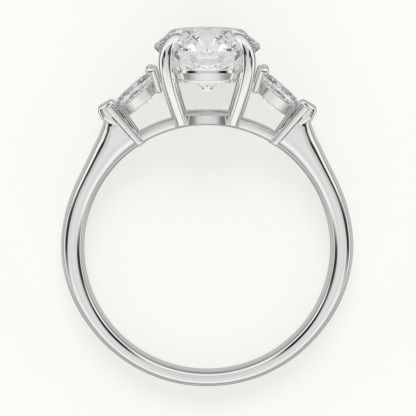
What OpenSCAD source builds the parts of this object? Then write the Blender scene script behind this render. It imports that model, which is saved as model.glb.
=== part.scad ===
// Three stone ring: a round brilliant between two pear brilliants, in one polished metal mounting.
// Millimetres. The ring is drawn standing, with X across it, Y towards the stones and Z along the
// finger. lay_down() then turns it onto its side, as it rests by itself.

/* [Band] */
// Radius of the finger hole
finger_r = 8.7; // [8.6:0.02:8.8]
// Width of the band along the finger
band_w = 2.3; // [1.8:0.1:2.8]
// Rounding of the band's four edges
band_edge = 0.28; // [0.16:0.02:0.36]

/* [Centre stone] */
// Diameter of the round stone
centre_d = 7.45; // [7.2:0.05:7.5]
// Height of its girdle above the finger's axis
centre_y = 14.26; // [14.2:0.02:14.4]
// Crown height
centre_crown = 1.15; // [1:0.05:1.25]
// Pavilion depth
centre_pavilion = 3.27; // [3.1:0.05:3.4]
// Table as a share of the diameter
centre_table = 0.575; // [0.53:0.005:0.6]
// Girdle thickness
centre_girdle = 0.16; // [0.1:0.02:0.24]

/* [Side stones] */
// Length of the pear from its round end to its point
pear_l = 4.05; // [3.9:0.05:4.1]
// Width across the pear
pear_w = 3; // [2.8:0.05:3.1]
// Crown height
pear_crown = 0.27; // [0.24:0.01:0.3]
// Pavilion depth
pear_pavilion = 1.44; // [1.36:0.02:1.48]
// Table as a share of the outline
pear_table = 0.62; // [0.56:0.01:0.66]
// Girdle thickness
pear_girdle = 0.12; // [0.08:0.02:0.16]
// Slope of each side setting, from level down to the shoulder
side_slope = 41; // [39:1:43]

/* [Mounting] */
// Room between each stone and the metal
stone_gap = 0.03; // [0.02:0.01:0.06]
// Width of the rail that bridges the finger under the stones
rail_w = 1.4; // [1.1:0.1:1.6]
// Thickness of that rail
rail_wall = 0.9; // [0.7:0.05:1]
// Outer radius of the ring at the head's foot
foot_r = 2.44; // [2.4:0.02:2.6]
// Outer radius of the ring under the centre stone
gallery_r = 3.42; // [3.38:0.02:3.5]
// Radius of the side settings' inner prongs
side_prong_r = 0.22; // [0.18:0.01:0.25]

/* [Hidden] */
metal = [0.82, 0.82, 0.80];
clear = [0.86, 0.93, 0.96, 0.6];

// Band: angle from the head in degrees, wall thickness
shank_rows = [
    [41, 2.61],
    [44, 2.32],
    [48, 2.08],
    [52, 1.89],
    [56, 1.76],
    [62, 1.67],
    [75, 1.63],
    [90, 1.64],
    [105, 1.56],
    [125, 1.40],
    [150, 1.30],
    [180, 1.23],
];

// Centre prong: height, distance from the middle in X and in Z, radius
prong_rows = [
    [8.20, 1.62, 0.48],
    [9.03, 1.82, 0.485],
    [9.80, 2.08, 0.49],
    [10.55, 2.31, 0.50],
    [11.30, 2.53, 0.51],
    [12.07, 2.71, 0.515],
    [12.80, 2.83, 0.52],
    [13.40, 2.86, 0.52],
    [13.92, 2.81, 0.51],
    [14.34, 2.68, 0.49],
    [14.66, 2.49, 0.47],
    [14.87, 2.28, 0.45],
    [14.96, 2.08, 0.41],
];

// End block of the shoulder: place along the side setting, top of the metal
shoulder_rows = [
    [4.40, 0.02],
    [4.05, 0.30],
    [3.50, 0.30],
];

// Top of the shoulder's prong: place along the setting, height, half width
nub_rows = [
    [2.99, 0.82, 0.44],
    [3.81, 0.94, 0.70],
    [3.97, 0.30, 0.86],
    [3.72, 0.00, 0.91],
    [3.72, -0.55, 0.90],
];
nub_edge = 0.24;

// Origin of the right side setting's own frame
side_x = 4.0;
side_y = 11.62;
pear_girdle_v = 0.43;
pear_round_u = -0.8;
end_wall_u = 2.95;
end_wall_t = 0.55;
end_wall_top = 1.05;

// Sides of a swept wire, and of the rounded ends of the small parts
wire_sides = 14;
small_sides = 12;

// Degrees between the sections of the band, near the shoulders and round the back
fine = 2;
coarse = 5;

half_w = band_w / 2;
centre_r = centre_d / 2;

// The band's rounded back edge and the centre stone's girdle both touch what the ring lies on
back_r = finger_r + shank_rows[len(shank_rows) - 1][1];
girdle_low = centre_girdle / 2 + centre_pavilion * (1 - cos(11.25));
rest_run = centre_y - girdle_low + back_r - band_edge;
rest_rise = centre_r - half_w + band_edge;
rest_tilt = acos(band_edge / norm([rest_run, rest_rise])) - atan2(rest_run, rest_rise);
rest_lift = (back_r - band_edge) * sin(rest_tilt) + (half_w - band_edge) * cos(rest_tilt) + band_edge;

// Middle of the length of the ring as it lies
back_y = -(back_r - band_edge) * cos(rest_tilt) - band_edge - (half_w - band_edge) * sin(rest_tilt);
table_y = centre_y + centre_girdle / 2 + centre_crown;
front_y = table_y * cos(rest_tilt) + centre_r * centre_table * sin(rest_tilt);
middle_y = (front_y + back_y) / 2;

// Smooth curve through the rows of a table, with the first column as its run
function slope(rows, i, c) =
    let (a = max(i - 1, 0), b = min(i + 1, len(rows) - 1))
    (rows[b][c] - rows[a][c]) / (rows[b][0] - rows[a][0]);
function piece(rows, x, i = 0) =
    i >= len(rows) - 2 || x <= rows[i + 1][0] ? i : piece(rows, x, i + 1);
function smooth(rows, x, c = 1) =
    let (
        i = piece(rows, x),
        h = rows[i + 1][0] - rows[i][0],
        t = (x - rows[i][0]) / h,
        p = rows[i][c],
        q = rows[i + 1][c],
        m = slope(rows, i, c) * h,
        n = slope(rows, i + 1, c) * h
    )
    (2 * t * t * t - 3 * t * t + 1) * p + (t * t * t - 2 * t * t + t) * m
        + (3 * t * t - 2 * t * t * t) * q + (t * t * t - t * t) * n;

// Closed solid through sections that all have the same number of points
module skin(sections) {
    n = len(sections[0]);
    last = len(sections) - 1;
    points = [for (s = sections) each s];
    walls = [
        for (i = [0 : last - 1])
            for (k = [0 : n - 1])
                let (a = i * n + k, b = i * n + (k + 1) % n)
                each [[a, b, b + n], [a, b + n, a + n]]
    ];
    near_end = [for (k = [n - 1 : -1 : 0]) k];
    far_end = [for (k = [0 : n - 1]) last * n + k];
    polyhedron(points, concat(walls, [near_end, far_end]), convexity = 6);
}

// Section of the band between an inner and an outer point, rounded at its four corners
function corner(a, b, w, along, across, start) =
    let (
        run = (b - a) / norm(b - a),
        mid = (along > 0 ? b - run * band_edge : a + run * band_edge),
        z = across * (w - band_edge)
    )
    [
        for (s = [0 : 3])
            let (angle = start + s * 30, p = mid + run * band_edge * cos(angle))
            [p.x, p.y, z + band_edge * sin(angle)]
    ];
function band_section(a, b, w) = concat(
    corner(a, b, w, 1, 1, 0),
    corner(a, b, w, -1, 1, 90),
    corner(a, b, w, -1, -1, 180),
    corner(a, b, w, 1, -1, 270)
);

// Places in the standing ring of a point in the right side setting's own frame
function side_point(u, v) = [
    side_x + u * cos(side_slope) + v * sin(side_slope),
    side_y - u * sin(side_slope) + v * cos(side_slope),
];
finger_u = -side_x * cos(side_slope) + side_y * sin(side_slope);
finger_v = -side_x * sin(side_slope) - side_y * cos(side_slope);
function finger_height(u) = finger_v + sqrt(finger_r * finger_r - (u - finger_u) * (u - finger_u));

function turned(r, angle) = [r * sin(angle), r * cos(angle)];
function band_station(angle) =
    let (a = angle > 180 ? 360 - angle : angle)
    band_section(turned(finger_r, angle), turned(finger_r + smooth(shank_rows, a), angle), half_w);
shoulder_sections = [
    for (r = shoulder_rows)
        band_section(side_point(r[0], finger_height(r[0])), side_point(r[0], r[1]), half_w)
];

module side_frame() {
    translate([side_x, side_y, 0]) rotate([0, 0, -side_slope]) children();
}

module both_sides() {
    children();
    mirror([1, 0, 0]) children();
}

// Sub-part: the band, from one shoulder round the back to the other
module shank() {
    start = shank_rows[0][0];
    near = 55;
    last = len(shoulder_sections) - 1;
    turn = concat(
        [for (a = [360 - start : -fine : 360 - near]) a],
        [for (a = [360 - near - coarse : -coarse : near + 1]) a],
        [for (a = [near : -fine : start]) a]
    );
    left_end = [for (k = [last : -1 : 0]) [for (p = shoulder_sections[k]) [-p.x, p.y, p.z]]];
    skin(concat(left_end, [for (a = turn) band_station(a)], shoulder_sections));
}

// Sub-part: the upright wall at the end of each shoulder, with a half-round front and back
module end_wall() {
    r = end_wall_t / 2;
    foot = finger_height(end_wall_u) - 0.3;
    hull() {
        for (z = [r - half_w, half_w - r]) {
            translate([end_wall_u + r, foot, z]) rotate([-90, 0, 0])
                cylinder(r = r, h = end_wall_top - foot - r, $fn = 16);
        }
        for (z = [-0.5, 0.5]) {
            translate([end_wall_u + r, end_wall_top - r, z]) sphere(r = r, $fn = 16);
        }
    }
}

// Sub-part: the top of the shoulder, which covers the pear's point
module point_prong() {
    hull() {
        for (row = nub_rows, s = [-1, 1]) {
            translate([row[0], row[1], s * row[2]]) sphere(r = nub_edge, $fn = small_sides);
        }
    }
}

// Sub-part: the slim post between the pear's gallery and the foot of the wall
module inner_post() {
    hull() {
        for (z = [-0.4, 0.4]) {
            translate([2.72, 0.02, z]) sphere(r = 0.16, $fn = small_sides);
            translate([3.06, finger_height(3.0) - 0.1, z]) sphere(r = 0.16, $fn = small_sides);
        }
    }
}

// Outline of the pear, moved out by a distance: a half circle, then an arc to the point on each side
pear_head = pear_w / 2;
pear_mid = pear_round_u + pear_head;
pear_tail = pear_l - pear_head;
flank_r = (pear_tail * pear_tail + pear_head * pear_head) / (2 * pear_head);
function flank(t, out) =
    let (a = t * asin(pear_tail / flank_r), r = flank_r + out)
    [pear_mid + r * sin(a), r * cos(a) - (flank_r - pear_head)];
function head_arc(a, out) = [
    pear_mid - (pear_head + out) * sin(a),
    (pear_head + out) * cos(a),
];
function pear_outline(n, out) = concat(
    [for (k = [0 : n - 1]) flank((n - k) / n, out)],
    [for (k = [0 : 2 * n]) head_arc(k * 90 / n, out)],
    [for (k = [1 : n - 1]) let (p = flank(k / n, out)) [p.x, -p.y]]
);

// Sub-part: the pear-shaped gallery band under each side stone
module side_gallery() {
    rotate([-90, 0, 0]) translate([0, 0, -0.7]) linear_extrude(0.8) difference() {
        polygon(pear_outline(8, -0.16));
        polygon(pear_outline(8, -0.52));
    }
    // Solder joint onto the centre ring
    hull() {
        for (u = [-0.95, -0.5], v = [-0.5, -0.1], z = [-0.4, 0.4]) {
            translate([u, v, z]) sphere(r = 0.12, $fn = 8);
        }
    }
}

// Sub-part: one of the two inner prongs of a side setting
module side_prong(s) {
    hull() {
        translate([-0.24, -0.72, s * 0.3]) sphere(r = side_prong_r, $fn = small_sides);
        translate([-0.79, 0.62, s * 1.16]) sphere(r = side_prong_r, $fn = small_sides);
    }
    hull() {
        translate([-0.79, 0.62, s * 1.16]) sphere(r = side_prong_r, $fn = small_sides);
        translate([-0.68, 0.78, s * 1.0]) sphere(r = side_prong_r + 0.04, $fn = small_sides);
    }
}

// Sub-part: the rail along the finger, under the stones
module bridge_rail() {
    w = rail_w / 2;
    bevel = 0.22;
    start = 90 - 33;
    rotate([0, 0, start]) rotate_extrude(angle = 66, $fn = 144)
        polygon([
            [finger_r, bevel - w],
            [finger_r + bevel, -w],
            [finger_r + rail_wall - 0.08, -w],
            [finger_r + rail_wall, 0.08 - w],
            [finger_r + rail_wall, w - 0.08],
            [finger_r + rail_wall - 0.08, w],
            [finger_r + bevel, w],
            [finger_r, w - bevel],
        ]);
}

// Sub-part: one wire prong of the centre head, bent over the crown at its top
function wire_ring(c, run, r) =
    let (side = [-run.y, run.x])
    [
        for (k = [0 : wire_sides - 1])
            let (a = 360 * k / wire_sides, p = c + side * r * cos(a))
            [p.x / sqrt(2) + r * sin(a) / sqrt(2), p.y, p.x / sqrt(2) - r * sin(a) / sqrt(2)]
    ];
function prong_at(t) = [
    smooth([for (i = [0 : len(prong_rows) - 1]) [i, prong_rows[i][1] * sqrt(2)]], t),
    smooth([for (i = [0 : len(prong_rows) - 1]) [i, prong_rows[i][0]]], t),
];
function prong_radius(t) = smooth([for (i = [0 : len(prong_rows) - 1]) [i, prong_rows[i][2]]], t);
function prong_run(t) =
    let (d = prong_at(min(t + 0.1, len(prong_rows) - 1)) - prong_at(max(t - 0.1, 0)))
    d / norm(d);
module centre_prong() {
    last = len(prong_rows) - 1;
    steps = concat([for (t = [0 : 1 : 7]) t], [for (t = [7.5 : 0.5 : last]) t]);
    end = prong_at(last);
    run = prong_run(last);
    r = prong_radius(last);
    shaft = [for (t = steps) wire_ring(prong_at(t), prong_run(t), prong_radius(t))];
    tip = [for (a = [25, 50, 75]) wire_ring(end + run * r * sin(a), run, r * cos(a))];
    skin(concat(shaft, tip));
}

module four_corners() {
    for (a = [0 : 90 : 270]) {
        rotate([0, a, 0]) children();
    }
}

// Sub-part: the plain ring at the foot of the centre head
module foot_ring() {
    wall = 0.46;
    rotate([-90, 0, 0]) rotate_extrude($fn = 48)
        polygon([
            [foot_r - wall, 8],
            [foot_r, 8],
            [foot_r, 9.54],
            [foot_r - 0.06, 9.6],
            [foot_r - wall + 0.06, 9.6],
            [foot_r - wall, 9.54],
        ]);
}

// Sub-part: the wider ring that ties the four prongs under the stone
module gallery_ring() {
    wall = 0.46;
    rotate([-90, 0, 0]) rotate_extrude($fn = 56)
        polygon([
            [gallery_r - 0.17 - wall, 11.93],
            [gallery_r - 0.25, 11.93],
            [gallery_r - 0.15, 12.03],
            [gallery_r, 12.77],
            [gallery_r - 0.06, 12.83],
            [gallery_r - wall, 12.83],
        ]);
}

// Room for the finger, straight up to a distance from the middle and opening out past it
module finger_room(straight, rise) {
    end_z = 3;
    flare_r = finger_r + rise * (end_z - straight);
    rotate_extrude($fn = 144)
        polygon([
            [0, -end_z],
            [flare_r, -end_z],
            [finger_r, -straight],
            [finger_r, straight],
            [flare_r, end_z],
            [0, end_z],
        ]);
}

// Sub-part: the four-prong head of the centre stone
module centre_head() {
    difference() {
        union() {
            four_corners() centre_prong();
            foot_ring();
        }
        finger_room(1.2, 0.46);
    }
    gallery_ring();
}

module side_setting() {
    side_frame() {
        side_gallery();
        side_prong(1);
        side_prong(-1);
        inner_post();
        end_wall();
        point_prong();
    }
}

// A brilliant cut over sixteen girdle points: table, 8 stars, 8 bezels, 16 upper girdle facets,
// the girdle, 16 lower girdle facets and 8 mains down to the culet
star_reach = 0.765;
lower_reach = 0.25;
module brilliant(outline, mid, table, crown, girdle, pavilion) {
    up = girdle / 2;
    fall = (star_reach * cos(22.5) - table) / (1 - table);
    deep = up + pavilion * (1 - lower_reach * cos(22.5));
    t0 = 0;
    s0 = 8;
    g0 = 16;
    h0 = 32;
    l0 = 48;
    c0 = 56;
    points = concat(
        [for (j = [0 : 7]) let (p = mid + table * (outline[2 * j] - mid)) [p.x, p.y, up + crown]],
        [for (j = [0 : 7]) let (p = mid + star_reach * (outline[2 * j + 1] - mid)) [p.x, p.y, up + crown * (1 - fall)]],
        [for (p = outline) [p.x, p.y, up]],
        [for (p = outline) [p.x, p.y, -up]],
        [for (j = [0 : 7]) let (p = mid + lower_reach * (outline[2 * j + 1] - mid)) [p.x, p.y, -deep]],
        [[mid.x, mid.y, -up - pavilion]]
    );
    faces = concat(
        [[for (j = [7 : -1 : 0]) t0 + j]],
        [
            for (j = [0 : 7])
                let (
                    n = (j + 1) % 8,
                    b = (j + 7) % 8,
                    g = 2 * j,
                    m = 2 * j + 1,
                    e = (2 * j + 2) % 16
                )
                each [
                    [t0 + j, t0 + n, s0 + j],
                    [t0 + j, g0 + g, s0 + b],
                    [t0 + j, s0 + j, g0 + g],
                    [s0 + j, g0 + m, g0 + g],
                    [s0 + j, g0 + e, g0 + m],
                    [l0 + j, h0 + g, h0 + m],
                    [l0 + j, h0 + m, h0 + e],
                    [c0, l0 + b, h0 + g],
                    [c0, h0 + g, l0 + j],
                    [g0 + g, g0 + m, h0 + m, h0 + g],
                    [g0 + m, g0 + e, h0 + e, h0 + m],
                ]
        ]
    );
    polyhedron(points, faces, convexity = 2);
}

module round_stone(room = 0) {
    r = centre_r + room;
    outer = r / cos(11.25);
    outline = [for (k = [0 : 15]) [outer * cos(k * 22.5), outer * sin(k * 22.5)]];
    translate([0, centre_y, 0]) rotate([-90, 0, 0]) intersection() {
        brilliant(
            outline, [0, 0], centre_table, centre_crown + room,
            centre_girdle + room, centre_pavilion + room
        );
        translate([0, 0, -6]) cylinder(r = r, h = 12, $fn = 96);
    }
}

module pear_stone(room = 0) {
    side_frame() translate([0, pear_girdle_v, 0]) rotate([-90, 0, 0])
        brilliant(
            pear_outline(4, room), [0.82, 0], pear_table, pear_crown + room,
            pear_girdle + room, pear_pavilion + room
        );
}

// All the metal, soldered into one piece, with a seat cut for each stone
module mounting_metal() {
    difference() {
        union() {
            shank();
            bridge_rail();
            both_sides() difference() {
                side_setting();
                finger_room(half_w - band_edge, 1);
            }
            centre_head();
        }
        round_stone(stone_gap);
        both_sides() pear_stone(stone_gap);
    }
}

module lay_down() {
    translate([0, -middle_y, rest_lift]) rotate([rest_tilt, 0, 0]) children();
}

module mounting() {
    color(metal) lay_down() mounting_metal();
}

module centre_stone() {
    color(clear) lay_down() round_stone();
}

module left_stone() {
    color(clear) lay_down() mirror([1, 0, 0]) pear_stone();
}

module right_stone() {
    color(clear) lay_down() pear_stone();
}

mounting();
centre_stone();
left_stone();
right_stone();
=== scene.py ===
"""Three stone ring in polished white metal, lying on its side on a pale table.

Shapes are worked out in millimetres on the standing ring, with X across it, Y towards the
stones and Z along the finger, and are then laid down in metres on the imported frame.
"""
import math

import bmesh
import bpy
from mathutils import Matrix, Vector


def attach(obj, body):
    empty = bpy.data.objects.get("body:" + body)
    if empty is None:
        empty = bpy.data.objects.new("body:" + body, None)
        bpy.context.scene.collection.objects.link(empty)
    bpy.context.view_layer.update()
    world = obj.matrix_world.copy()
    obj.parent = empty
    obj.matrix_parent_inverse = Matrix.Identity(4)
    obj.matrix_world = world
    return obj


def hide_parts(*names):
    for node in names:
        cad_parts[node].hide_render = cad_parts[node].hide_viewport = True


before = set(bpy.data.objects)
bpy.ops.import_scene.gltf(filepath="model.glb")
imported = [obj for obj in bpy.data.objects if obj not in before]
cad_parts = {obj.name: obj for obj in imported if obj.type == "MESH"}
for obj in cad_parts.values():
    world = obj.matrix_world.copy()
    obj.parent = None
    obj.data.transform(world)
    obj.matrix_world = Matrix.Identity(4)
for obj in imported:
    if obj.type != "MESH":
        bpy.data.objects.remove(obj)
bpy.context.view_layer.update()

# Band
FINGER_R = 8.7
BAND_HALF_W = 1.15
FACE_STEPS = 6
RIM_STEPS = 6

# Rounding of the band's edge: tilt from and to in degrees, radius, steps
EDGE_ARCS = [
    (3, 12, 1.4, 5),
    (12, 22, 0.4, 4),
    (22, 34, 1.0, 5),
    (34, 70, 0.25, 7),
]
RIM_END = 84

# The radii hold at this wall, and grow and shrink with it up to a limit
EDGE_WALL = 1.64
EDGE_GROWTH = 1.5
LEAST_DOME_RUN = 0.06

# The same for the rail under the stones
RAIL_ARCS = [
    (24, 70, 0.10, 8),
]

# Angle from the head in degrees, wall thickness
SHANK_ROWS = [
    (41, 2.61),
    (44, 2.32),
    (48, 2.08),
    (52, 1.89),
    (56, 1.76),
    (62, 1.67),
    (75, 1.63),
    (90, 1.64),
    (105, 1.56),
    (125, 1.40),
    (150, 1.30),
    (180, 1.23),
]

# End block of the shoulder: place along the side setting, top of the metal
SHOULDER_ROWS = [
    (4.40, 0.02),
    (4.05, 0.30),
    (3.50, 0.30),
]
SHOULDER_STEPS = 4

# Room for the finger, cut from the settings: its core, half length and rounded edge
ROOM_CORE_R = 0.5
ROOM_HALF_L = 4
ROOM_STEPS = 360
ROOM_EDGE = 0.28
ROOM_EDGE_STEPS = 8

# Room under the head: gap round the finger, height along it
HEAD_ROOM_ROWS = [
    (0.12, 0.6),
    (0.30, 2.1),
    (0.50, ROOM_HALF_L),
]

# Centre head: height, distance from the middle in X and in Z, radius
PRONG_ROWS = [
    (8.20, 1.62, 0.48),
    (9.03, 1.82, 0.485),
    (9.80, 2.08, 0.49),
    (10.55, 2.31, 0.50),
    (11.30, 2.53, 0.51),
    (12.07, 2.71, 0.515),
    (12.80, 2.83, 0.52),
    (13.40, 2.86, 0.52),
    (13.92, 2.81, 0.51),
    (14.34, 2.68, 0.49),
    (14.66, 2.49, 0.47),
    (14.87, 2.28, 0.45),
    (14.96, 2.08, 0.41),
]
PRONG_COUNT = 4
PRONG_SIDES = 40
PRONG_ROW_STEPS = 8
PRONG_TIP_STEPS = 12
PRONG_TIP_END = 88.5

# Rings of the head: corners of the section by radius and height
FOOT_RING = [
    (1.98, 8.00),
    (2.44, 8.00),
    (2.44, 9.60),
    (1.98, 9.60),
]
FOOT_RING_MIDDLE = 2.2
FOOT_RING_ROUNDING = 0.06
GALLERY_RING = [
    (2.79, 11.93),
    (3.20, 11.93),
    (3.25, 12.10),
    (3.20, 12.14),
    (3.42, 12.62),
    (3.35, 12.83),
    (2.96, 12.83),
]
GALLERY_RING_MIDDLE = 3.1
GALLERY_RING_ROUNDING = 0.04
RING_STEPS = 160
ROUNDING_POINTS = 5

# Stones, and the gap round each where metal is cut away for it
STONES = ("centre_stone", "left_stone", "right_stone")
SEAT_GAP = 0.03

# Side settings, in the right one's own frame: U down the slope, V out of the stone, W as Z before
SIDE_X = 4.0
SIDE_Y = 11.62
SIDE_SLOPE = math.radians(41)
PEAR_L = 4.05
PEAR_W = 3.0
PEAR_ROUND_U = -0.8
PEAR_STEPS = 32

# Ring of metal under the pear: top and bottom by V, walls by distance in from the pear's outline
SIDE_GALLERY_TOP = 0.1
SIDE_GALLERY_BOTTOM = -0.7
SIDE_GALLERY_OUTER = 0.16
SIDE_GALLERY_INNER = 0.52
SIDE_GALLERY_EDGE = 0.09
SIDE_GALLERY_EDGE_STEPS = 5

# Small prong: U, V and W of its foot, its bend and its claw, and the claw's extra radius
SIDE_PRONG_R = 0.27
SIDE_PRONG_FOOT = (-0.26, -0.66, 1.02)
SIDE_PRONG_BEND = (-0.80, 0.58, 1.18)
SIDE_PRONG_CLAW = (-0.62, 0.76, 0.98)
CLAW_EXTRA_R = 0.04
SIDE_PRONG_VOXEL = 0.04
SIDE_PRONG_SMOOTHING = 6

# Upright wall at the shoulder's end: from and to by U, heights by V, half widths by W, edge radius
WALL_FROM = 2.95
WALL_TO = 3.50
WALL_SINK = 0.3
WALL_SHOULDER = 0.70
WALL_TOP = 1.05
WALL_TOP_HALF_W = 0.5
WALL_CROWN = 0.02
WALL_EDGE = 0.16

# Post inside the wall: U and V of its top, U of its foot, half width, radius
POST_TOP = (2.72, 0.02)
POST_FOOT_U = 3.06
POST_HALF_W = 0.4
POST_R = 0.16
POST_REACH_U = 3.0
POST_SINK = 0.1

# Solder between a side setting and the head: corners by U, V and W, radius
JOINT_U = (-0.95, -0.5)
JOINT_V = (-0.5, -0.1)
JOINT_W = (-0.4, 0.4)
JOINT_R = 0.12

# Nub that holds the pear's point: U, V, half width by W
NUB_EDGE = 0.34
NUB_VOXEL = 0.045
NUB_SMOOTHING = 24
NUB_ROWS = [
    (3.02, 0.72, 0.50),
    (3.73, 0.83, 0.66),
    (3.86, 0.32, 0.77),
    (3.62, 0.00, 0.80),
    (3.60, -0.50, 0.80),
]

# Rail under the stones
RAIL_HALF_W = 0.7
RAIL_WALL = 0.9
RAIL_HALF_TURN = 33

# Meshes: points nearer than this are one, edges are sharp from this angle on, and large faces
# lead the normals by this much
MERGE_DIST = 1e-6
CREASE = math.radians(35)
FACE_WEIGHT = 60

# How the ring lies: its tilt, and where the finger's axis comes to
REST_TILT = math.radians(6.17956)
REST_LIFT = 2.18372
MIDDLE_Y = 2.83149
MM = 0.001
LAY_DOWN = (
    Matrix.Scale(MM, 4)
    @ Matrix.Translation((0, -MIDDLE_Y, REST_LIFT))
    @ Matrix.Rotation(REST_TILT, 4, "X")
)
SIDE_FRAME = Matrix.Translation((SIDE_X, SIDE_Y, 0)) @ Matrix.Rotation(-SIDE_SLOPE, 4, "Z")
MIRROR = Matrix.Scale(-1, 4, (1, 0, 0))


def slope(rows, i, c):
    """Slope of column c at a row, from its two neighbours."""
    a = max(i - 1, 0)
    b = min(i + 1, len(rows) - 1)
    return (rows[b][c] - rows[a][c]) / (rows[b][0] - rows[a][0])


def smooth(rows, x, c=1):
    """Smooth curve through a table's rows, with the first column as its run."""
    i = 0
    while i < len(rows) - 2 and x > rows[i + 1][0]:
        i += 1
    h = rows[i + 1][0] - rows[i][0]
    t = (x - rows[i][0]) / h
    m = slope(rows, i, c) * h
    n = slope(rows, i + 1, c) * h
    return (
        (2 * t**3 - 3 * t**2 + 1) * rows[i][c]
        + (t**3 - 2 * t**2 + t) * m
        + (3 * t**2 - 2 * t**3) * rows[i + 1][c]
        + (t**3 - t**2) * n
    )


def strip_faces(n, first, second):
    """Faces between two neighbouring sections of n points each, by the sections' numbers."""
    faces = []
    for k in range(n):
        m = (k + 1) % n
        faces.append((first * n + k, first * n + m, second * n + m, second * n + k))
    return faces


def skin(sections):
    """Closed mesh through sections that all have the same number of points, capped at both ends."""
    n = len(sections[0])
    last = len(sections) - 1
    faces = []
    for i in range(last):
        faces += strip_faces(n, i, i + 1)
    faces.append(tuple(range(n - 1, -1, -1)))
    faces.append(tuple(last * n + k for k in range(n)))
    return faced("skin", sections, faces)


def ring_skin(name, sections):
    """Closed mesh through sections that lead round to the first again."""
    faces = []
    for i in range(len(sections)):
        faces += strip_faces(len(sections[0]), i, (i + 1) % len(sections))
    return faced(name, sections, faces)


def faced(name, sections, faces):
    """Mesh of the sections' points and these faces."""
    mesh = bpy.data.meshes.new(name)
    mesh.from_pydata([point for section in sections for point in section], [], faces)
    return outward(mesh)


def outward(mesh):
    """Merges doubles and turns every face outwards."""
    bm = bmesh.new()
    bm.from_mesh(mesh)
    bmesh.ops.remove_doubles(bm, verts=bm.verts, dist=MERGE_DIST)
    bmesh.ops.recalc_face_normals(bm, faces=bm.faces)
    if bm.calc_volume(signed=True) < 0:
        bmesh.ops.reverse_faces(bm, faces=bm.faces)
    bm.to_mesh(mesh)
    bm.free()
    return mesh


def show(name, mesh):
    obj = bpy.data.objects.new(name, mesh)
    bpy.context.scene.collection.objects.link(obj)
    return obj


def plain(obj):
    """The object's mesh with its modifiers made real."""
    mesh = bpy.data.meshes.new_from_object(
        obj.evaluated_get(bpy.context.evaluated_depsgraph_get())
    )
    obj.modifiers.clear()
    obj.data = mesh
    return obj


def cut(obj, *cutters):
    """Takes the cutters' shapes out of a piece."""
    for cutter in cutters:
        modifier = obj.modifiers.new("cut", "BOOLEAN")
        modifier.operation = "DIFFERENCE"
        modifier.solver = "EXACT"
        modifier.object = cutter
    return plain(obj)


def metal_piece(obj, finish):
    """Shades a finished piece, lays it down in metres and hands it to the frame."""
    outward(obj.data)
    for polygon in obj.data.polygons:
        polygon.use_smooth = True
    obj.data.set_sharp_from_angle(angle=CREASE)
    modifier = obj.modifiers.new("shade", "WEIGHTED_NORMAL")
    modifier.keep_sharp = True
    modifier.weight = FACE_WEIGHT
    plain(obj)
    obj.data.transform(LAY_DOWN)
    obj.data.name = obj.name
    obj.data.materials.clear()
    obj.data.materials.append(finish)
    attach(obj, "root")
    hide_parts("mounting")


# Materials
METAL_COLOUR = (0.90, 0.895, 0.875, 1)
CLOUD_SCALE = 900
CLOUD_DETAIL = 4
CLOUD_LOW = 0.3
CLOUD_HIGH = 0.7
STONE_COLOUR = (0.97, 0.985, 1.0, 1)
STONE_IOR = 2.42
# Strength of the stones' painted glow, a faint white emission
STONE_PAINTED_GLOW = 0.014


def new_material(name):
    material = bpy.data.materials.new(name)
    material.use_nodes = True
    tree = material.node_tree
    return material, tree, tree.nodes["Principled BSDF"]


def white_metal(name, low, high):
    """White metal with a cloudy roughness between two values."""
    material, tree, shader = new_material(name)
    shader.inputs["Base Color"].default_value = METAL_COLOUR
    shader.inputs["Metallic"].default_value = 1
    place = tree.nodes.new("ShaderNodeTexCoord")
    cloud = tree.nodes.new("ShaderNodeTexNoise")
    cloud.inputs["Scale"].default_value = CLOUD_SCALE
    cloud.inputs["Detail"].default_value = CLOUD_DETAIL
    tree.links.new(place.outputs["Object"], cloud.inputs["Vector"])
    spread = tree.nodes.new("ShaderNodeMapRange")
    spread.inputs["From Min"].default_value = CLOUD_LOW
    spread.inputs["From Max"].default_value = CLOUD_HIGH
    spread.inputs["To Min"].default_value = low
    spread.inputs["To Max"].default_value = high
    tree.links.new(cloud.outputs["Fac"], spread.inputs["Value"])
    tree.links.new(spread.outputs["Result"], shader.inputs["Roughness"])
    return material


def cut_stone():
    """Clear stone with a faint painted glow: a small white emission brightens it all over, though
    it is no lamp.
    """
    material, tree, shader = new_material("clear_cut_stone")
    shader.inputs["Base Color"].default_value = STONE_COLOUR
    shader.inputs["Roughness"].default_value = 0.0
    shader.inputs["IOR"].default_value = STONE_IOR
    shader.inputs["Transmission Weight"].default_value = 1
    # Painted glow: the stone emits a little white light of its own so that it looks brighter
    shader.inputs["Emission Color"].default_value = (1, 1, 1, 1)
    shader.inputs["Emission Strength"].default_value = STONE_PAINTED_GLOW
    return material


polished = white_metal("polished_white_metal", 0.02, 0.06)
softly_polished = white_metal("softly_polished_white_metal", 0.22, 0.30)
clear = cut_stone()


# Band
def arc_profile(arcs, half_w):
    """Quarter profile by arcs of tilt from the side face: run outwards and height."""
    points = [(0.0, half_w)]
    run, height = 0.0, half_w
    for start, end, radius, steps in arcs:
        for k in range(steps):
            a = math.radians(start + (end - start) * k / steps)
            b = math.radians(start + (end - start) * (k + 1) / steps)
            run += radius * (math.sin(b) - math.sin(a))
            height -= radius * (math.cos(a) - math.cos(b))
            points.append((run, height))
    return points


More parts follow.
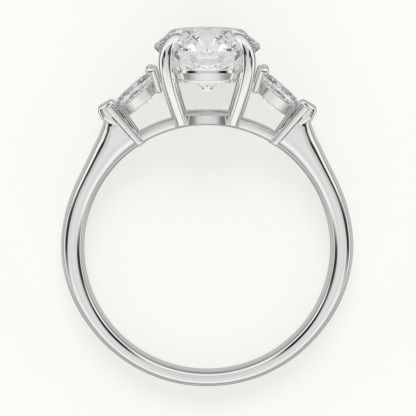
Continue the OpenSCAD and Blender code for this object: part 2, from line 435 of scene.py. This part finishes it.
def soft_quarter(half, half_w, arcs):
    """Band's quarter section: domed side, soft shoulder, tight edge and a sloping rim."""
    radians = math.radians
    run = sum(r * (math.sin(radians(b)) - math.sin(radians(a))) for a, b, r, steps in arcs)
    drop = sum(r * (math.cos(radians(a)) - math.cos(radians(b))) for a, b, r, steps in arcs)
    first = arcs[0][0]
    last = arcs[-1][1]
    rim_fall = math.cos(radians(last)) - math.cos(radians(RIM_END))
    rim_r = (half_w - drop) / rim_fall
    rim_run = rim_r * (math.sin(radians(RIM_END)) - math.sin(radians(last)))
    dome_r = max(half - run - rim_run, LEAST_DOME_RUN) / math.sin(radians(first))
    points = arc_profile(
        [(0, first, dome_r, FACE_STEPS), *arcs, (last, RIM_END, rim_r, RIM_STEPS)], half_w
    )
    stretch = half / points[-1][0]
    low = points[-1][1]
    return [(x * stretch, half_w * (h - low) / (half_w - low)) for x, h in points]


def soft_section(inner, outer, half_w, arcs):
    """Section with two flat-domed sides, alike on its four quarters."""
    run = (outer - inner).normalized()
    mid = (inner + outer) / 2
    quarter = soft_quarter((outer - inner).length / 2, half_w, arcs)
    outer_low = [(s, -z) for s, z in reversed(quarter[:-1])]
    inner_low = [(-s, -z) for s, z in quarter[1:]]
    inner_top = [(-s, z) for s, z in reversed(quarter[1:-1])]
    return [
        Vector((mid.x + run.x * s, mid.y + run.y * s, z))
        for s, z in quarter + outer_low + inner_low + inner_top
    ]


def band_section(inner, outer):
    """Section of the band, with softer edges where its wall is thicker."""
    soft = min((outer - inner).length / EDGE_WALL, EDGE_GROWTH)
    arcs = [(a, b, r * soft, n) for a, b, r, n in EDGE_ARCS]
    return soft_section(inner, outer, BAND_HALF_W, arcs)


def turned(r, degrees):
    """Point at a distance from the finger's axis, by its angle from the head."""
    a = math.radians(degrees)
    return Vector((r * math.sin(a), r * math.cos(a), 0))


def side_point(u, v):
    return SIDE_FRAME @ Vector((u, v, 0))


def finger_height(u):
    """Height of the finger's surface in the side setting's frame."""
    centre = SIDE_FRAME.inverted() @ Vector((0, 0, 0))
    return centre.y + math.sqrt(FINGER_R**2 - (u - centre.x) ** 2)


def band():
    first = SHANK_ROWS[0][0]
    shoulder = []
    last_turn = (turned(FINGER_R, first), turned(FINGER_R + SHANK_ROWS[0][1], first))
    pairs = [last_turn] + [
        (side_point(u, finger_height(u)), side_point(u, top)) for u, top in SHOULDER_ROWS
    ]
    for (a, b), (c, d) in zip(pairs, pairs[1:]):
        for k in range(1, SHOULDER_STEPS + 1):
            t = k / SHOULDER_STEPS
            shoulder.append((a.lerp(c, t), b.lerp(d, t)))
    turn = []
    for angle in range(360 - first, first - 1, -1):
        wall = smooth(SHANK_ROWS, 360 - angle if angle > 180 else angle)
        turn.append((turned(FINGER_R, angle), turned(FINGER_R + wall, angle)))
    left = [(MIRROR @ a, MIRROR @ b) for a, b in reversed(shoulder)]
    return show("band", skin([band_section(a, b) for a, b in left + turn + shoulder]))


# Room for the finger
def revolved(profile, steps):
    """Turns a closed profile of radius and height about the finger's axis."""
    sections = []
    for i in range(steps):
        a = 2 * math.pi * i / steps
        sections.append([(r * math.cos(a), r * math.sin(a), h) for r, h in profile])
    return ring_skin("revolved", sections)


def finger_cutter(name, upper):
    """Solid that fills the finger's room, alike on both sides of the band."""
    lower = [(r, -h) for r, h in reversed(upper)]
    profile = [(ROOM_CORE_R, -ROOM_HALF_L)] + lower + upper + [(ROOM_CORE_R, ROOM_HALF_L)]
    return show(name, revolved(profile, ROOM_STEPS))


def head_finger_room():
    """Room for the finger under the head, opening out towards its ends."""
    return finger_cutter("head_room", [(FINGER_R + gap, h) for gap, h in HEAD_ROOM_ROWS])


def side_finger_room():
    """Room for the finger under the side settings, with a rounded edge."""
    points = []
    for k in range(ROOM_EDGE_STEPS + 1):
        a = math.pi / 2 * k / ROOM_EDGE_STEPS
        points.append((
            FINGER_R + ROOM_EDGE * (1 - math.cos(a)),
            BAND_HALF_W - ROOM_EDGE + ROOM_EDGE * math.sin(a),
        ))
    return finger_cutter("side_room", points + [(FINGER_R + ROOM_EDGE, ROOM_HALF_L)])


def bridge_rail():
    """Rail under the stones, domed across its sides."""
    sections = []
    for angle in range(RAIL_HALF_TURN, -RAIL_HALF_TURN - 1, -1):
        inner = turned(FINGER_R, angle)
        outer = turned(FINGER_R + RAIL_WALL, angle)
        sections.append(soft_section(inner, outer, RAIL_HALF_W, RAIL_ARCS))
    return show("bridge_rail", skin(sections))


# Geometry Nodes
def node_tree(name, inputs):
    tree = bpy.data.node_groups.new(name, "GeometryNodeTree")
    tree.interface.new_socket("Geometry", in_out="INPUT", socket_type="NodeSocketGeometry")
    for label, kind, value in inputs:
        socket = tree.interface.new_socket(label, in_out="INPUT", socket_type=kind)
        if value is not None:
            socket.default_value = value
    tree.interface.new_socket("Geometry", in_out="OUTPUT", socket_type="NodeSocketGeometry")
    return tree, tree.nodes.new("NodeGroupInput"), tree.nodes.new("NodeGroupOutput")


def set_inputs(modifier, values):
    for item in modifier.node_group.interface.items_tree:
        if item.item_type == "SOCKET" and item.in_out == "INPUT" and item.name in values:
            modifier[item.identifier] = values[item.name]


def wire_prongs_tree():
    """Round wire along the piece's own line, repeated evenly about the head's middle."""
    tree, given, result = node_tree("wire_prongs", [
        ("Count", "NodeSocketInt", PRONG_COUNT),
        ("Wire sides", "NodeSocketInt", PRONG_SIDES),
        ("Metal", "NodeSocketMaterial", None),
    ])
    new, link = tree.nodes.new, tree.links.new
    line = new("GeometryNodeMeshToCurve")
    link(given.outputs["Geometry"], line.inputs["Mesh"])
    radius = new("GeometryNodeInputNamedAttribute")
    radius.data_type = "FLOAT"
    radius.inputs["Name"].default_value = "wire_radius"
    thick = new("GeometryNodeSetCurveRadius")
    link(line.outputs["Curve"], thick.inputs["Curve"])
    link(radius.outputs["Attribute"], thick.inputs["Radius"])
    section = new("GeometryNodeCurvePrimitiveCircle")
    section.inputs["Radius"].default_value = 1
    link(given.outputs["Wire sides"], section.inputs["Resolution"])
    wire = new("GeometryNodeCurveToMesh")
    wire.inputs["Fill Caps"].default_value = True
    link(thick.outputs["Curve"], wire.inputs["Curve"])
    link(section.outputs["Curve"], wire.inputs["Profile Curve"])
    link(radius.outputs["Attribute"], wire.inputs["Scale"])
    places = new("GeometryNodePoints")
    link(given.outputs["Count"], places.inputs["Count"])
    index = new("GeometryNodeInputIndex")
    share = new("ShaderNodeMath")
    share.operation = "DIVIDE"
    link(index.outputs["Index"], share.inputs[0])
    link(given.outputs["Count"], share.inputs[1])
    angle = new("ShaderNodeMath")
    angle.operation = "MULTIPLY"
    angle.inputs[1].default_value = 2 * math.pi
    link(share.outputs[0], angle.inputs[0])
    spin = new("ShaderNodeCombineXYZ")
    link(angle.outputs[0], spin.inputs["Y"])
    turn = new("FunctionNodeEulerToRotation")
    link(spin.outputs["Vector"], turn.inputs["Euler"])
    copies = new("GeometryNodeInstanceOnPoints")
    link(places.outputs[0], copies.inputs["Points"])
    link(wire.outputs["Mesh"], copies.inputs["Instance"])
    link(turn.outputs["Rotation"], copies.inputs["Rotation"])
    real = new("GeometryNodeRealizeInstances")
    link(copies.outputs["Instances"], real.inputs["Geometry"])
    paint = new("GeometryNodeSetMaterial")
    link(real.outputs["Geometry"], paint.inputs["Geometry"])
    link(given.outputs["Metal"], paint.inputs["Material"])
    link(paint.outputs["Geometry"], result.inputs["Geometry"])
    return tree


def head_prongs():
    """Four wire prongs, each bent over the crown and rounded at its tip."""
    rows = [(i, *row) for i, row in enumerate(PRONG_ROWS)]
    points = []
    radii = []
    for k in range((len(rows) - 1) * PRONG_ROW_STEPS + 1):
        t = k / PRONG_ROW_STEPS
        height, out, radius = (smooth(rows, t, c) for c in (1, 2, 3))
        points.append(Vector((out, height, out)))
        radii.append(radius)
    run = (points[-1] - points[-2]).normalized()
    end = points[-1]
    tip = radii[-1]
    for k in range(1, PRONG_TIP_STEPS + 1):
        a = math.radians(min(90 * k / PRONG_TIP_STEPS, PRONG_TIP_END))
        points.append(end + run * tip * math.sin(a))
        radii.append(tip * math.cos(a))
    mesh = bpy.data.meshes.new("prong_line")
    mesh.from_pydata(points, [(i, i + 1) for i in range(len(points) - 1)], [])
    width = mesh.attributes.new("wire_radius", "FLOAT", "POINT")
    width.data.foreach_set("value", radii)
    obj = show("head_prongs", mesh)
    modifier = obj.modifiers.new("wire", "NODES")
    modifier.node_group = wire_prongs_tree()
    set_inputs(modifier, {"Count": PRONG_COUNT, "Wire sides": PRONG_SIDES, "Metal": polished})
    return plain(obj)


def turned_ring_tree():
    """Ring turned about the head's axis from the piece's own section, with its corners rounded."""
    tree, given, result = node_tree("turned_ring", [
        ("Rounding", "NodeSocketFloat", GALLERY_RING_ROUNDING),
        ("Steps", "NodeSocketInt", RING_STEPS),
        ("Middle radius", "NodeSocketFloat", GALLERY_RING_MIDDLE),
        ("Metal", "NodeSocketMaterial", None),
    ])
    new, link = tree.nodes.new, tree.links.new
    section = new("GeometryNodeMeshToCurve")
    link(given.outputs["Geometry"], section.inputs["Mesh"])
    soft = new("GeometryNodeFilletCurve")
    soft.mode = "POLY"
    soft.inputs["Count"].default_value = ROUNDING_POINTS
    link(section.outputs["Curve"], soft.inputs["Curve"])
    link(given.outputs["Rounding"], soft.inputs["Radius"])
    circle = new("GeometryNodeCurvePrimitiveCircle")
    link(given.outputs["Steps"], circle.inputs["Resolution"])
    link(given.outputs["Middle radius"], circle.inputs["Radius"])
    ring = new("GeometryNodeCurveToMesh")
    link(circle.outputs["Curve"], ring.inputs["Curve"])
    link(soft.outputs["Curve"], ring.inputs["Profile Curve"])
    real = new("GeometryNodeRealizeInstances")
    link(ring.outputs["Mesh"], real.inputs["Geometry"])
    paint = new("GeometryNodeSetMaterial")
    link(real.outputs["Geometry"], paint.inputs["Geometry"])
    link(given.outputs["Metal"], paint.inputs["Material"])
    link(paint.outputs["Geometry"], result.inputs["Geometry"])
    return tree


def turned_ring(name, tree, middle, corners, rounding):
    """One ring of the head, from its section's corners as radius and height."""
    n = len(corners)
    points = [(r - middle, h, 0.0) for r, h in corners]
    mesh = bpy.data.meshes.new(name)
    mesh.from_pydata(points, [(i, (i + 1) % n) for i in range(n)], [])
    obj = show(name, mesh)
    modifier = obj.modifiers.new("turned", "NODES")
    modifier.node_group = tree
    set_inputs(modifier, {
        "Rounding": rounding,
        "Middle radius": middle,
        "Steps": RING_STEPS,
        "Metal": softly_polished,
    })
    plain(obj)
    # The circle lies flat about Z, and the head's axis is Y
    obj.data.transform(Matrix.Rotation(math.radians(90), 4, "X"))
    outward(obj.data)
    return obj


# Side settings
ball = bmesh.new()
bmesh.ops.create_icosphere(ball, subdivisions=4, radius=1)
BALL_POINTS = [v.co.copy() for v in ball.verts]
ball.free()


def ball_hull(balls):
    """Smooth solid stretched over balls, each given by its middle and radius."""
    bm = bmesh.new()
    for (x, y, z), r in balls:
        for p in BALL_POINTS:
            bm.verts.new(Vector((x, y, z)) + p * r)
    bmesh.ops.convex_hull(bm, input=bm.verts)
    loose = [v for v in bm.verts if not v.link_faces]
    bmesh.ops.delete(bm, geom=loose, context="VERTS")
    bmesh.ops.recalc_face_normals(bm, faces=bm.faces)
    mesh = bpy.data.meshes.new("hull")
    bm.to_mesh(mesh)
    bm.free()
    return mesh


def softened(mesh, voxel, rounds):
    """The mesh built again in small even faces and smoothed."""
    obj = show("softened", mesh)
    remesh = obj.modifiers.new("even", "REMESH")
    remesh.mode = "VOXEL"
    remesh.voxel_size = voxel
    smoothing = obj.modifiers.new("smooth", "SMOOTH")
    smoothing.factor = 0.5
    smoothing.iterations = rounds
    mesh = plain(obj).data
    bpy.data.objects.remove(obj)
    return mesh


def point_prong():
    """Soft nub that holds the pear's point."""
    nub = ball_hull([((u, v, s * half), NUB_EDGE) for u, v, half in NUB_ROWS for s in (-1, 1)])
    return softened(nub, NUB_VOXEL, NUB_SMOOTHING)


def end_wall():
    """Upright wall at the end of the shoulder, with a nearly flat front and soft edges."""
    r = WALL_EDGE
    foot = finger_height(WALL_FROM) - WALL_SINK
    half = BAND_HALF_W - r
    middle = (WALL_FROM + WALL_TO) / 2
    places = []
    for s in (-1, 1):
        for u in (WALL_FROM + r, WALL_TO - r):
            places += [
                (u, foot, s * half),
                (u, WALL_SHOULDER, s * half),
                (u, WALL_TOP - r, s * WALL_TOP_HALF_W),
            ]
        places += [
            (middle, foot, s * (half + WALL_CROWN)),
            (middle, WALL_SHOULDER, s * (half + WALL_CROWN)),
        ]
    return ball_hull([(place, r) for place in places])


def inner_post():
    """Slanted post inside the wall, from the rail up to the gallery."""
    foot = finger_height(POST_REACH_U) - POST_SINK
    ends = []
    for w in (-POST_HALF_W, POST_HALF_W):
        ends += [((*POST_TOP, w), POST_R), ((POST_FOOT_U, foot, w), POST_R)]
    return ball_hull(ends)


def side_prong(s):
    """Small prong beside the pear, with its claw bent over the stone's edge."""
    foot, bend, claw = (
        (u, v, s * w) for u, v, w in (SIDE_PRONG_FOOT, SIDE_PRONG_BEND, SIDE_PRONG_CLAW)
    )
    bm = bmesh.new()
    bm.from_mesh(ball_hull([(foot, SIDE_PRONG_R), (bend, SIDE_PRONG_R)]))
    bm.from_mesh(ball_hull([(bend, SIDE_PRONG_R), (claw, SIDE_PRONG_R + CLAW_EXTRA_R)]))
    mesh = bpy.data.meshes.new("prong")
    bm.to_mesh(mesh)
    bm.free()
    return softened(mesh, SIDE_PRONG_VOXEL, SIDE_PRONG_SMOOTHING)


def solder_joint():
    return ball_hull([((u, v, w), JOINT_R) for u in JOINT_U for v in JOINT_V for w in JOINT_W])


def pear_outline(n, out):
    """Pear moved out by a distance: a half circle, then an arc to the point on each side."""
    head = PEAR_W / 2
    mid = PEAR_ROUND_U + head
    tail = PEAR_L - head
    flank_r = (tail**2 + head**2) / (2 * head)
    points = []
    r = flank_r + out
    tip = math.acos((flank_r - head) / r)
    for k in range(n + 1):
        a = (n - k) / n * tip
        points.append((mid + r * math.sin(a), r * math.cos(a) - (flank_r - head)))
    for k in range(1, n):
        a = math.pi / 2 * k / n
        points.append((mid - (head + out) * math.sin(a), (head + out) * math.cos(a)))
    mirrored = [(u, -w) for u, w in reversed(points[1:])]
    return points + [(mid - (head + out), 0.0)] + mirrored


def side_gallery():
    """Ring of metal round the pear under its stone, with softened edges."""
    soft = SIDE_GALLERY_EDGE
    levels = []
    for k in range(SIDE_GALLERY_EDGE_STEPS + 1):
        a = math.pi / 2 * k / SIDE_GALLERY_EDGE_STEPS
        levels.append((SIDE_GALLERY_BOTTOM + soft * (1 - math.cos(a)), soft * (math.sin(a) - 1)))
    span = SIDE_GALLERY_TOP + SIDE_GALLERY_BOTTOM
    levels += [(span - v, inset) for v, inset in reversed(levels)]
    walls = [(v, inset - SIDE_GALLERY_OUTER) for v, inset in levels]
    walls += [(v, -inset - SIDE_GALLERY_INNER) for v, inset in reversed(levels)]
    sections = [[(u, v, w) for u, w in pear_outline(PEAR_STEPS, out)] for v, out in walls]
    return ring_skin("side_gallery", sections)


def side_pieces(side, turn, room, stone):
    """The parts of one side setting. All but the two small prongs are cut to finger and stone."""
    for label, mesh, finish in (
        ("gallery", side_gallery(), softly_polished),
        ("solder_joint", solder_joint(), polished),
        ("post", inner_post(), polished),
        ("end_wall", end_wall(), polished),
        ("point_prong", point_prong(), polished),
        ("rear_prong", side_prong(-1), polished),
        ("front_prong", side_prong(1), polished),
    ):
        mesh.transform(turn @ SIDE_FRAME)
        solid = show("%s_%s" % (side, label), outward(mesh))
        if label not in ("rear_prong", "front_prong"):
            cut(solid, room, stone)
        metal_piece(solid, finish)


def stone_cutter(node, grow):
    """A stone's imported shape, merged, stood up again and grown by the gap round it."""
    source = bpy.data.objects[node]
    mesh = source.data.copy()
    mesh.transform(LAY_DOWN.inverted() @ source.matrix_world)
    obj = show(node + "_seat", outward(mesh))
    low = [min(v.co[i] for v in mesh.vertices) for i in range(3)]
    high = [max(v.co[i] for v in mesh.vertices) for i in range(3)]
    middle = Vector([(a + b) / 2 for a, b in zip(low, high)])
    factor = 1 + 2 * grow / max(b - a for a, b in zip(low, high))
    mesh.transform(
        Matrix.Translation(middle) @ Matrix.Scale(factor, 4) @ Matrix.Translation(-middle)
    )
    return obj


head_room = head_finger_room()
side_room = side_finger_room()
seats = {node: stone_cutter(node, SEAT_GAP) for node in STONES}

metal_piece(band(), polished)
metal_piece(bridge_rail(), softly_polished)
metal_piece(cut(head_prongs(), head_room, *seats.values()), polished)
ring_tree = turned_ring_tree()
foot_ring = turned_ring("foot_ring", ring_tree, FOOT_RING_MIDDLE, FOOT_RING, FOOT_RING_ROUNDING)
metal_piece(cut(foot_ring, head_room), softly_polished)
metal_piece(turned_ring(
    "gallery_ring", ring_tree, GALLERY_RING_MIDDLE, GALLERY_RING, GALLERY_RING_ROUNDING
), polished)
side_pieces("right", Matrix.Identity(4), side_room, seats["right_stone"])
side_pieces("left", MIRROR, side_room, seats["left_stone"])
for cutter in (head_room, side_room, *seats.values()):
    bpy.data.objects.remove(cutter)

# Stones keep their packed facets
for node in STONES:
    for place in bpy.data.objects[node].material_slots:
        place.material = clear


# Plain pale table and its soft lamp
TABLE_HALF = 3
TABLE_COLOUR = (0.38, 0.378, 0.366, 1)
TABLE_GLOW_COLOUR = (1.0, 0.99, 0.955, 1)
TABLE_GLOW = 0.63
LAMP_TILT = math.radians(38)
LAMP_ANGLE = math.radians(30)
LAMP_STRENGTH = 1.0


def table_top():
    """Flat table that lights up in part by itself, and isn't mirrored in the metal."""
    bm = bmesh.new()
    bmesh.ops.create_grid(bm, x_segments=4, y_segments=4, size=TABLE_HALF)
    mesh = bpy.data.meshes.new("table_top")
    bm.to_mesh(mesh)
    bm.free()
    obj = show("table_top", mesh)
    material, tree, shader = new_material("pale_table")
    shader.inputs["Base Color"].default_value = TABLE_COLOUR
    shader.inputs["Roughness"].default_value = 1.0
    shader.inputs["Specular IOR Level"].default_value = 0.0
    shader.inputs["Emission Color"].default_value = TABLE_GLOW_COLOUR
    shader.inputs["Emission Strength"].default_value = TABLE_GLOW
    mesh.materials.append(material)
    obj.visible_glossy = False


def soft_lamp():
    """Wide soft lamp over the stones' side. It isn't mirrored in the metal."""
    data = bpy.data.lights.new("soft_lamp", "SUN")
    data.angle = LAMP_ANGLE
    data.energy = LAMP_STRENGTH
    lamp = bpy.data.objects.new("soft_lamp", data)
    lamp.matrix_world = Matrix.Rotation(-LAMP_TILT, 4, "X")
    lamp.visible_glossy = False
    lamp.visible_transmission = False
    bpy.context.scene.collection.objects.link(lamp)


table_top()
soft_lamp()


# Camera, at the photograph's angle to the ring
VIEW_RISE = math.radians(7)
PIXEL_MM = 0.0708
AIM_X = 0.8 * PIXEL_MM
AIM_UP = 39.4 * PIXEL_MM
LENS = 300
SENSOR = 36
FRAME_PIXELS = 416

facing = Matrix.Rotation(REST_TILT - VIEW_RISE, 4, "X")
back_off = facing @ Vector((0, 0, 1))
upward = facing @ Vector((0, 1, 0))
aim = LAY_DOWN @ Vector((0, 0, 0)) + (Vector((AIM_X, 0, 0)) + upward * AIM_UP) * MM
distance = PIXEL_MM * FRAME_PIXELS * MM * LENS / SENSOR
camera_data = bpy.data.cameras.new("camera")
camera_data.lens = LENS
camera_data.sensor_width = SENSOR
camera_data.clip_start = 0.01
camera_data.clip_end = 20
camera = bpy.data.objects.new("camera", camera_data)
camera.matrix_world = Matrix.Translation(aim + back_off * distance) @ facing
bpy.context.scene.collection.objects.link(camera)
bpy.context.scene.camera = camera


# Studio: a soft dome around the ring, each table from straight up to straight down
# by degrees and brightness. Dark strips above and below the horizon outline the metal.
STONES_SIDE = [
    (0, 0.65), (15, 0.80), (28, 0.62), (40, 0.62), (50, 1.05), (70, 0.88), (95, 0.72),
    (110, 0.40), (118, 0.22), (130, 0.22), (138, 0.55), (165, 0.58), (180, 0.50),
]
BETWEEN = [
    (0, 0.65), (10, 0.78), (17, 0.65), (21, 0.02), (52, 0.01), (60, 1.10), (78, 1.00), (95, 0.75),
    (110, 0.40), (118, 0.15), (132, 0.15), (139, 0.55), (160, 0.58), (170, 0.20), (180, 0.20),
]
BESIDE = [
    (0, 0.65), (28, 0.65), (38, 0.50), (46, 0.04), (64, 0.04), (71, 0.70), (79, 1.00), (100, 1.05),
    (110, 0.55), (118, 0.15), (132, 0.15), (139, 0.55), (162, 0.55), (172, 0.30), (180, 0.30),
]
BEHIND = [
    (0, 0.65), (12, 0.82), (22, 0.74), (30, 0.85), (44, 1.00), (56, 1.00), (65, 0.75), (75, 0.34),
    (92, 0.34), (102, 0.90), (120, 0.60), (135, 0.45), (160, 0.45), (168, 0.12), (180, 0.10),
]

# Which table follows on behind, and the headings between which it takes over: -1 away from the
# stones, 1 towards them
DOME_BLENDS = [
    (BESIDE, -0.6, -0.2),
    (BETWEEN, 0.0, 0.3),
    (STONES_SIDE, 0.62, 0.82),
]


def ramp(tree, stops):
    """Grey scale along a table of degrees and brightness."""
    node = tree.nodes.new("ShaderNodeValToRGB")
    elements = node.color_ramp.elements
    while len(elements) < len(stops):
        elements.new(0.5)
    for element, (degrees, value) in zip(elements, stops):
        element.position = degrees / 180
        element.color = (value, value, value, 1)
    return node


def studio():
    """World whose light changes with the height and with the heading towards the stones."""
    world = bpy.data.worlds.new("studio")
    world.use_nodes = True
    bpy.context.scene.world = world
    tree = world.node_tree
    new, link = tree.nodes.new, tree.links.new
    place = new("ShaderNodeTexCoord")
    parts = new("ShaderNodeSeparateXYZ")
    link(place.outputs["Generated"], parts.inputs[0])
    fall = new("ShaderNodeMath")
    fall.operation = "ARCCOSINE"
    link(parts.outputs["Z"], fall.inputs[0])
    share = new("ShaderNodeMath")
    share.operation = "DIVIDE"
    share.inputs[1].default_value = math.pi
    link(fall.outputs[0], share.inputs[0])
    flat = new("ShaderNodeVectorMath")
    flat.operation = "MULTIPLY"
    flat.inputs[1].default_value = (1, 1, 0)
    link(place.outputs["Generated"], flat.inputs[0])
    heading = new("ShaderNodeVectorMath")
    heading.operation = "NORMALIZE"
    link(flat.outputs[0], heading.inputs[0])
    headings = new("ShaderNodeSeparateXYZ")
    link(heading.outputs[0], headings.inputs[0])
    def along(stops):
        node = ramp(tree, stops)
        link(share.outputs[0], node.inputs["Fac"])
        return node.outputs["Color"]

    mixed = along(BEHIND)
    for stops, low, high in DOME_BLENDS:
        blend = new("ShaderNodeMapRange")
        blend.interpolation_type = "SMOOTHSTEP"
        blend.inputs["From Min"].default_value = low
        blend.inputs["From Max"].default_value = high
        link(headings.outputs["Y"], blend.inputs["Value"])
        mix = new("ShaderNodeMix")
        mix.data_type = "RGBA"
        # The colour mix has its two colours at sockets 6 and 7, and its result at 2
        link(blend.outputs["Result"], mix.inputs["Factor"])
        link(mixed, mix.inputs[6])
        link(along(stops), mix.inputs[7])
        mixed = mix.outputs[2]
    back = tree.nodes["Background"]
    link(mixed, back.inputs["Color"])


studio()

view_settings = bpy.context.scene.view_settings
view_settings.view_transform = "Standard"
view_settings.look = "None"
bpy.context.scene.cycles.max_bounces = 24
bpy.context.scene.cycles.transmission_bounces = 20
bpy.context.scene.cycles.glossy_bounces = 10
